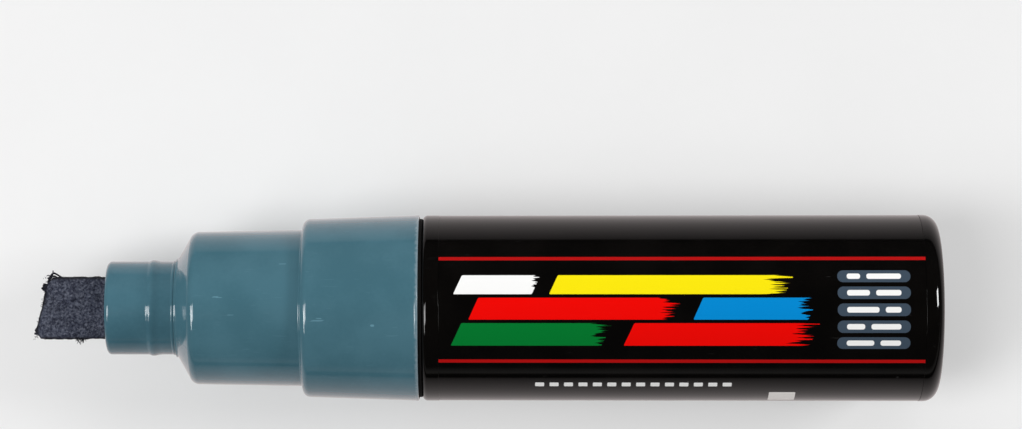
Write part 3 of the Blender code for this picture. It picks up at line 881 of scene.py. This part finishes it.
# Colours of wear, with the painted highlight on the collar's rear rim and the painted shade in the seam
# behind it
# partly rubbing, partly painted highlight: pale blue laid along the collar's rear rim
RUBBED_RIM_AND_HIGHLIGHT = (0.24, 0.31, 0.35)
# painted shade: near black laid in the seam behind the rim, where its shadow falls
SEAM_PAINTED_SHADE = (0.002, 0.002, 0.002)
FILM_SCUFF = (0.5, 0.5, 0.5)
FELT_MATTED = (0.075, 0.084, 0.115)
FELT_PORES = (0.012, 0.014, 0.026)
FELT_TIPS = (0.15, 0.16, 0.20)
FELT_WORN = (0.004, 0.004, 0.008)
PAINT_STAIN = (0.05, 0.11, 0.15)
RUBBER_BLOOM = (0.2, 0.2, 0.2)
STEEL_SCRATCH = (0.8, 0.8, 0.8)

# Strength of the marks on mouldings and film, and how scratches change their gloss and relief
MOULD_MARKS = 0.12
FILM_MARKS = 0.05
NICK_MARKS = (0.3, 0.7)
SCRATCH_ROUGHNESS = 0.08
SCRATCH_DEPTH = 0.3

# Pale rim of rubbing and painted highlight, and the seam behind it darkened as painted shade, in
# millimetres
RIM_RUB_AND_HIGHLIGHT = 0.75
RIM_WIDTH = 0.5
RIM_TEAR = (-0.1, 0.1)
SEAM_EDGE = 0.05
SEAM_SINK = (-0.1, -0.3)

# Small nicks in the grip: start, end, place round it, half width and slant
NICKS = (
    (-34.9, -34.2, 2.0, 0.09, 1.5),
    (-34.5, -33.7, 1.9, 0.06, -1.2),
    (-33.0, -32.2, -0.8, 0.06, 0.3),
    (-22.2, -20.7, -1.4, 0.1, 2.0),
    (-21.6, -20.9, -1.1, 0.07, -1.0),
    (-14.7, -14.2, -2.0, 0.14, 0.0),
    (-26.5, -25.6, 7.4, 0.05, 0.8),
)


def scratched(wiring, shader, colour, rough, mottle, scratch, relief):
    """Colour, gloss and fine relief of a surface that scratches have dulled."""
    paint(wiring, shader, colour, wiring.plus(rough, wiring.times(scratch, SCRATCH_ROUGHNESS)))
    bump(wiring, shader, wiring.minus(mottle, wiring.times(scratch, SCRATCH_DEPTH)), relief)


def moulded(name, shades, roughness, wear, coat=0.0, rim=None, nicks=()):
    """Glossy moulded plastic with flow mottle, handling scratches, specks and small nicks, and at a rim a
    pale band of rubbing and painted highlight with painted shade in the seam behind it.
    """
    made, wiring, shader, place = blank(name)
    shader.inputs["Coat Weight"].default_value = coat
    mottle = effect(wiring, MOTTLE, {"Place": place, "Scale": 140.0, "Grain": 0.25})
    scratch = effect(wiring, SCRATCHES, {"Place": place, "Cover": wear})
    dust = effect(wiring, DUST, {"Place": place, "Scale": 420.0, "Cover": 0.02})
    parts = from_the_axis(wiring, place)
    along, around = unrolled(wiring, parts, COLLAR_REAR_R)
    marks = wiring.times(wiring.larger(scratch, dust), MOULD_MARKS)
    for begin, end, middle, half, slant in nicks:
        nick = patch_mask(wiring, along, around, begin, end, middle, half, slant, half)
        depth = wiring.ramp(mottle, *NEARLY_ALL, *NICK_MARKS)
        marks = wiring.larger(marks, wiring.times(nick, depth))
    pale = tuple(min(1.0, channel * 1.9 + 0.05) for channel in shades[1])
    colour = wiring.mix(wiring.ramp(mottle, *MOST), *shades)
    colour = wiring.mix(marks, colour, pale)
    rough = wiring.plus(wiring.times(mottle, 0.06), roughness - 0.03)
    if rim:
        # painted highlight with rubbing: the rim made paler in a ragged band
        behind = wiring.plus(along, rim - REAR_X)
        torn = wiring.ramp(wiring.noise(place, 1900.0, 2.0), 0.3, 0.65, *RIM_TEAR)
        rubbed_and_highlit = wiring.ramp(wiring.plus(behind, torn), -RIM_WIDTH, 0.0)
        colour = wiring.mix(wiring.times(rubbed_and_highlit, RIM_RUB_AND_HIGHLIGHT), colour, RUBBED_RIM_AND_HIGHLIGHT)
        # painted shade: the sunken seam behind the rim is blackened, dulled and loses its coat
        radius = wiring.diagonal(*[wiring.times(parts[axis], 1 / MM) for axis in ("Y", "Z")])
        sunk = wiring.minus(radius, COLLAR_REAR_R * FACET_SHARE)
        seam_shade = wiring.times(wiring.ramp(behind, -SEAM_EDGE, 0.0), wiring.ramp(sunk, *SEAM_SINK))
        colour = wiring.mix(seam_shade, colour, SEAM_PAINTED_SHADE)
        rough = wiring.plus(rough, wiring.times(seam_shade, 0.8))
        wiring.join(wiring.ramp(seam_shade, 0.0, 1.0, coat, 0.0), shader.inputs["Coat Weight"])
    scratched(wiring, shader, colour, rough, mottle, scratch, 0.004)
    return made


# Inks of the print
WHITE = (0.86, 0.86, 0.85)
YELLOW = (0.87, 0.725, 0.004)
GREEN = (0.001, 0.17, 0.026)
BLUE = (0.001, 0.23, 0.59)
SCARLET = (0.80, 0.002, 0.001)
RED = (0.42, 0.005, 0.005)
SLATE = (0.046, 0.068, 0.096)
PALE = (0.84, 0.81, 0.78)

# Layout of the print, in millimetres along the film from the marker's middle and round it from the top
PRINT_STATION = 33
LINE_MIDDLE, LINE_HALF, LINE_PAST, LINE_CORNER = 6.92, 0.25, 1.0, 0.05
STROKE_SLANT, STROKE_CORNER = 0.45, 0.15
DRY_PAST, DRY_LEVEL, DRY_EDGE = 0.5, 0.62, (-0.02, 0.04)
# Ink, start, end, middle, half width and length of the dry tail
STROKES = (
    (WHITE, -3.6, 6.4, 3.3, 1.25, 2.0),
    (YELLOW, 8.6, 38.6, 3.3, 1.25, 7.0),
    (SCARLET, -1.6, 24.4, 0.2, 1.4, 6.0),
    (BLUE, 27.0, 41.6, 0.2, 1.4, 4.0),
    (GREEN, -3.8, 15.4, -3.15, 1.5, 5.0),
    (SCARLET, 18.2, 41.8, -3.15, 1.5, 7.0),
)
PILL_ROWS, PILL_TOP, PILL_PITCH = 5, 4.4, 2.17
PILL_START, PILL_END, PILL_HALF, PILL_CORNER = 44.7, 54.0, 0.8, 0.75
DASH_START, DASH_END, DASH_HALF, DASH_CORNER = 45.9, 52.8, 0.36, 0.3
DASH_BREAK, DASH_SHIFT, DASH_GAP = 47.6, 0.6, 0.8
RULE_START, RULE_END, RULE_PITCH, RULE_MIDDLE = 6.2, 31.6, 1.85, -11.2
RULE_DASH = (0.1, 1.25, RULE_MIDDLE, 0.42, 0.0, 0.12)
RULE_FIELD = (RULE_START, RULE_END, RULE_MIDDLE, 1.0, 0.0, 0.05)
SQUARE = (36.4, 39.8, -14.9, 1.75, 0.0, 0.15)


def print_layout():
    """Each patch's ink, its start, end, middle, half width, slant and corner, and its dry tail."""
    low = REAR_X - FILM_FRONT - LINE_PAST
    high = REAR_X - FILM_REAR + LINE_PAST
    layout = []
    for middle in (LINE_MIDDLE, -LINE_MIDDLE):
        layout.append((RED, (low, high, middle, LINE_HALF, 0.0, LINE_CORNER), 0.0))
    for ink, begin, end, middle, half, dry in STROKES:
        layout.append((ink, (begin, end, middle, half, STROKE_SLANT, STROKE_CORNER), dry))
    for row in range(PILL_ROWS):
        middle = PILL_TOP - PILL_PITCH * row
        gap = DASH_BREAK + DASH_SHIFT * (row * 2 % PILL_ROWS)
        layout.append((SLATE, (PILL_START, PILL_END, middle, PILL_HALF, 0.0, PILL_CORNER), 0.0))
        for begin, end in ((DASH_START, gap), (gap + DASH_GAP, DASH_END)):
            layout.append((WHITE, (begin, end, middle, DASH_HALF, 0.0, DASH_CORNER), 0.0))
    layout.append((PALE, SQUARE, 0.0))
    return layout


def film_print():
    """Black film with two red lines, colour strokes, plain slate pills, a dashed rule and a pale square."""
    made, wiring, shader, place = blank("film_print")
    mottle = effect(wiring, MOTTLE, {"Place": place, "Scale": 180.0, "Grain": 0.3})
    scratch = effect(wiring, SCRATCHES, {"Place": place, "Cover": 0.16})
    dust = effect(wiring, DUST, {"Place": place, "Scale": 380.0, "Cover": 0.02})
    along, around = unrolled(wiring, from_the_axis(wiring, place), film_radius(PRINT_STATION))
    streaks = wiring.noise(wiring.stretched(place, (50, 4200, 4200)), 1.0, 3.0)
    colour = wiring.mix(wiring.ramp(mottle, *MOST), *BLACK)
    colour = wiring.mix(wiring.times(wiring.larger(scratch, dust), FILM_MARKS), colour, FILM_SCUFF)
    for ink, area, dry in print_layout():
        mask = patch_mask(wiring, along, around, *area)
        if dry:
            end = area[1]
            worn = wiring.ramp(along, end - dry, end + DRY_PAST, 0.0, DRY_LEVEL)
            mask = wiring.times(mask, wiring.ramp(wiring.minus(streaks, worn), *DRY_EDGE))
        colour = wiring.mix(mask, colour, ink)
    cell = wiring.math("FLOORED_MODULO", wiring.minus(along, RULE_START), RULE_PITCH)
    dashes = patch_mask(wiring, cell, around, *RULE_DASH)
    within = patch_mask(wiring, along, around, *RULE_FIELD)
    colour = wiring.mix(wiring.times(dashes, within), colour, WHITE)
    rough = wiring.plus(wiring.times(mottle, 0.05), 0.05)
    scratched(wiring, shader, colour, rough, mottle, scratch, 0.003)
    return made


def worn_felt(wiring, place, mottle, blotch):
    """How far the felt is blackened, along its cut front and its flanks."""
    parts = wiring.add("SeparateXYZ", {"Vector": place}).outputs
    lean = wiring.times(parts["Y"], NIB_SLANT / NIB_WIDTH / MM)
    behind = wiring.minus(wiring.times(parts["X"], 1 / MM), lean)
    behind = wiring.minus(behind, REAR_X - NIB_TIP + NIB_SLANT / 2)
    front = wiring.ramp(wiring.plus(behind, wiring.times(mottle, 0.5)), 0.85, 0.35)
    beside = wiring.times(wiring.math("ABSOLUTE", parts["Y"]), 1 / MM)
    beside = wiring.plus(beside, wiring.times(blotch, 0.7))
    flank = wiring.ramp(beside, NIB_WIDTH / 2 - 0.1, NIB_WIDTH / 2 + 0.3)
    return wiring.larger(front, wiring.times(flank, 0.95))


def felt(name):
    """Pressed felt soaked with paint: a matted ground, pale fibre ends and darker worn edges."""
    made, wiring, shader, place = blank(name)
    warp = wiring.add("TexNoise", {"Vector": place, "Scale": 1500.0, "Detail": 2.0}).outputs["Color"]
    bend = (1.1 * MM, 1.1 * MM, 1.1 * MM)
    bent = wiring.add("VectorMath", {0: warp, 1: bend}, operation="MULTIPLY").outputs[0]
    twisted = wiring.add("VectorMath", {0: place, 1: bent}, operation="ADD").outputs[0]
    fibre = wiring.noise(wiring.stretched(twisted, (2600, 6400, 6400), (0, 0, 0.6)), 1.0, 2.0)
    cross = wiring.noise(wiring.stretched(twisted, (6800, 2400, 6400), (0, 0, 0.3)), 1.0, 2.0)
    mottle = effect(wiring, MOTTLE, {"Place": place, "Scale": 420.0, "Grain": 0.5})
    blotch = wiring.noise(twisted, 1500.0, 3.0, 0.6)
    speck = wiring.noise(place, 3600.0, 2.0, 0.6)
    ground = wiring.mix(wiring.ramp(mottle, *MOST), *FELT)
    ground = wiring.mix(wiring.ramp(blotch, 0.42, 0.66), ground, FELT_MATTED)
    ground = wiring.mix(wiring.ramp(speck, 0.5, 0.34), ground, FELT_PORES)
    tips = wiring.ramp(wiring.larger(fibre, cross), 0.58, 0.78)
    tips = wiring.larger(tips, wiring.ramp(speck, 0.54, 0.68))
    colour = wiring.mix(wiring.times(tips, 0.6), ground, FELT_TIPS)
    worn = worn_felt(wiring, place, mottle, blotch)
    colour = wiring.mix(wiring.times(worn, 0.92), colour, FELT_WORN)
    paint(wiring, shader, colour, wiring.ramp(mottle, *NEARLY_ALL, 0.8, 1.0))
    shader.inputs["Specular IOR Level"].default_value = 0.2
    bump(wiring, shader, wiring.plus(fibre, cross), 0.08, 0.8)
    return made


def soaked_fibre():
    """Loose fibres black with paint, a little paler here and there."""
    made, wiring, shader, place = blank("soaked_fibre")
    mottle = effect(wiring, MOTTLE, {"Place": place, "Scale": 900.0, "Grain": 0.5})
    colour = wiring.mix(wiring.ramp(mottle, 0.35, 0.75), *FIBRE)
    paint(wiring, shader, colour, wiring.ramp(mottle, *NEARLY_ALL, 0.7, 0.95))
    shader.inputs["Specular IOR Level"].default_value = 0.2
    return made


def natural_plastic(name, light):
    """Unpainted moulding inside the marker, stained here and there by paint."""
    made, wiring, shader, place = blank(name)
    mottle = effect(wiring, MOTTLE, {"Place": place, "Scale": 300.0, "Grain": 0.4})
    stain = wiring.ramp(wiring.noise(place, 520.0, 3.0), 0.56, 0.72)
    shade = tuple(channel * 0.86 for channel in light)
    ground = wiring.mix(wiring.ramp(mottle, *MOST), shade, light)
    colour = wiring.mix(wiring.times(stain, 0.7), ground, PAINT_STAIN)
    paint(wiring, shader, colour, wiring.ramp(mottle, *NEARLY_ALL, 0.3, 0.5))
    bump(wiring, shader, mottle, 0.02)
    return made


def rubber(name):
    made, wiring, shader, place = blank(name)
    mottle = effect(wiring, MOTTLE, {"Place": place, "Scale": 700.0, "Grain": 0.6})
    dust = effect(wiring, DUST, {"Place": place, "Scale": 2600.0, "Cover": 0.2})
    ground = wiring.mix(wiring.ramp(mottle, *MOST), *RUBBER)
    colour = wiring.mix(wiring.times(dust, 0.2), ground, RUBBER_BLOOM)
    paint(wiring, shader, colour, wiring.ramp(mottle, *NEARLY_ALL, 0.55, 0.8))
    bump(wiring, shader, mottle, 0.03)
    return made


def steel(name, stretch):
    """Drawn or ground steel with streaks along the work."""
    made, wiring, shader, place = blank(name)
    streak = wiring.noise(wiring.stretched(place, stretch), 1.0, 3.0)
    scratch = effect(wiring, SCRATCHES, {"Place": place, "Cover": 0.4})
    ground = wiring.mix(wiring.ramp(streak, *MOST), *STEEL)
    colour = wiring.mix(wiring.times(scratch, 0.3), ground, STEEL_SCRATCH)
    paint(wiring, shader, colour, wiring.ramp(streak, *MOST, 0.2, 0.36))
    shader.inputs["Metallic"].default_value = 1.0
    bump(wiring, shader, streak, 0.01)
    return made


# Floor: its tone, its own glow, and its mirror image, which is a little warm and fades away from the marker
NO_LIGHT = (0.0, 0.0, 0.0)
PLAIN_LIGHT = (1.0, 1.0, 1.0)
WARM_LIGHT = (1.0, 0.91, 0.90)
FLOOR_TONES = (0.58, 0.60)
FLOOR_GLOW = 0.25
FLOOR_SIZE = 6.0
FLOOR_DROP = 0.02
FADE_HALF, FADE_START, FADE_END = 40, 165, 225


def studio_paper():
    """The pale floor."""
    made, wiring, shader, place = blank("studio_paper")
    grain = effect(wiring, MOTTLE, {"Place": place, "Scale": 30.0, "Grain": 0.2})
    tone = wiring.ramp(grain, *NEARLY_ALL, *FLOOR_TONES)
    parts = wiring.add("SeparateXYZ", {"Vector": place}).outputs
    beside = wiring.minus(wiring.math("ABSOLUTE", parts["Y"]), BARREL_REAR_R * MM)
    from_middle = wiring.minus(parts["X"], (REAR_X - NIB_TIP / 2) * MM)
    beyond = wiring.minus(wiring.math("ABSOLUTE", from_middle), NIB_TIP / 2 * MM)
    away = wiring.diagonal(wiring.larger(beside, 0.0), wiring.larger(beyond, 0.0))
    kept = wiring.math("DIVIDE", FADE_HALF * MM, wiring.plus(away, FADE_HALF * MM))
    kept = wiring.times(kept, wiring.ramp(away, FADE_END * MM, FADE_START * MM))
    rays = wiring.add("LightPath").outputs
    mirrored = rays["Is Glossy Ray"]
    paper = wiring.mix(tone, NO_LIGHT, PLAIN_LIGHT)
    image = wiring.mix(kept, NO_LIGHT, wiring.mix(tone, NO_LIGHT, WARM_LIGHT))
    paint(wiring, shader, wiring.mix(mirrored, paper, image), 0.8)
    glow = wiring.plus(rays["Is Camera Ray"], wiring.times(mirrored, kept))
    wiring.join(wiring.mix(mirrored, PLAIN_LIGHT, WARM_LIGHT), shader.inputs["Emission Color"])
    wiring.join(wiring.times(glow, FLOOR_GLOW), shader.inputs["Emission Strength"])
    shader.inputs["Specular IOR Level"].default_value = 0.1
    return made


# Pieces


def dress(piece, material, body, node):
    piece.data.materials.clear()
    piece.data.materials.append(material)
    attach(piece, body)
    if node:
        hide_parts(node)


def recolour(node, material):
    """A CAD node whose shape is right keeps it and gets a finer material."""
    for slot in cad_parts[node].material_slots:
        slot.material = material


front_finish = moulded("front_finish", FRONT_SLATE, 0.10, 0.3, 0.65, RIM_STATION, NICKS)
holder_finish = moulded("holder_finish", HOLDER_SLATE, 0.11, 0.25, 0.35)
barrel_finish = moulded("barrel_finish", BLACK, 0.06, 0.25)
nib_finish = felt("nib_finish")
fibre_finish = soaked_fibre()

dress(barrel_shell(), barrel_finish, "marker", "barrel")
dress(printed_film(), film_print(), "marker", "wrap_film")
dress(grip_front(), front_finish, "marker", "front_barrel")
dress(nib_holder(), holder_finish, "marker", "tip_holder")
dress(felt_nib(), nib_finish, "nib", "nib")
dress(frayed_fibres(), fibre_finish, "nib", None)
spring = wound_spring()
dress(spring, steel("drawn_wire", (900, 900, 900)), "marker", "valve_spring")
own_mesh(spring)

recolour("mixing_ball", steel("ground_ball", (1500, 400, 400)))
recolour("valve_housing", natural_plastic("housing_finish", (0.70, 0.70, 0.67)))
recolour("valve_stem", natural_plastic("stem_finish", (0.55, 0.55, 0.53)))
recolour("spring_retainer", natural_plastic("retainer_finish", (0.66, 0.66, 0.63)))
recolour("valve_gasket", rubber("gasket_finish"))
recolour("barrel_seal", rubber("seal_finish"))

# Floor, light and camera

# Place, width and height in metres, and watts
SOFT_BOXES = {
    "left_box": ((-0.55, -0.16, 0.585), 0.46, 0.15, 1.4),
    "high_box": ((-0.78, -0.20, 1.00), 0.36, 0.30, 1.6),
    "top_box": ((-0.42, -0.10, 0.90), 0.40, 0.40, 2.7),
    "right_box": ((1.02, 0.22, 0.64), 0.34, 0.24, 5.6),
}

# What lights the marker from the room, what shows in its gloss, and what the camera sees past the floor
ROOM_LOW, ROOM_HIGH = (0.30, 0.30, 0.30), (2.0, 2.0, 2.0)
GLOSS_DARK, GLOSS_BAND = (0.022, 0.021, 0.020), (0.16, 0.155, 0.15)
BACKDROP = (0.9, 0.9, 0.9)

# Camera over the marker, in millimetres from the axis
CAMERA_X, CAMERA_Y, CAMERA_HEIGHT = 3.2, 12.16, 506.0
CAMERA_LENS, CAMERA_SENSOR = 137.0, 36.0


def softbox(name, place, width, height, watts):
    """An area light that looks at the marker."""
    data = bpy.data.lights.new(name, "AREA")
    data.shape = "RECTANGLE"
    data.size = width
    data.size_y = height
    data.energy = watts
    light = bpy.data.objects.new(name, data)
    light.location = place
    light.rotation_euler = (-Vector(place)).to_track_quat("-Z", "Y").to_euler()
    bpy.context.scene.collection.objects.link(light)


def studio_room():
    """The world: soft light, brighter from the side above the marker, and a dim room in the gloss."""
    world = bpy.data.worlds.new("studio")
    bpy.context.scene.world = world
    world.use_nodes = True
    wiring = Wiring(world.node_tree)
    rays = wiring.add("LightPath").outputs
    place = wiring.add("TexCoord").outputs["Object"]
    heading = wiring.add("SeparateXYZ", {"Vector": place}).outputs
    soft = wiring.mix(wiring.ramp(heading["Y"], 0.5, 0.95), ROOM_LOW, ROOM_HIGH)
    band = wiring.times(wiring.ramp(heading["Z"], 0.02, 0.05), wiring.ramp(heading["Z"], 0.25, 0.06))
    band = wiring.times(band, wiring.ramp(heading["Y"], 0.2, -0.4))
    room = wiring.mix(rays["Is Glossy Ray"], soft, wiring.mix(band, GLOSS_DARK, GLOSS_BAND))
    seen = wiring.mix(rays["Is Camera Ray"], room, BACKDROP)
    wiring.join(seen, world.node_tree.nodes["Background"].inputs["Color"])


clear_selection()
floor_place = (0, 0, -FLOOR_DROP * MM)
bpy.ops.mesh.primitive_grid_add(size=FLOOR_SIZE, x_subdivisions=2, y_subdivisions=2, location=floor_place)
floor = start("floor")
floor.data.materials.append(studio_paper())

for box_name, box in SOFT_BOXES.items():
    softbox(box_name, *box)
studio_room()

camera_data = bpy.data.cameras.new("camera")
camera_data.lens = CAMERA_LENS
camera_data.sensor_width = CAMERA_SENSOR
camera = bpy.data.objects.new("camera", camera_data)
camera.location = (CAMERA_X * MM, CAMERA_Y * MM, (AXIS_Z + CAMERA_HEIGHT) * MM)
bpy.context.scene.collection.objects.link(camera)
bpy.context.scene.camera = camera
bpy.context.scene.view_settings.view_transform = "Standard"

bpy.context.view_layer.update()
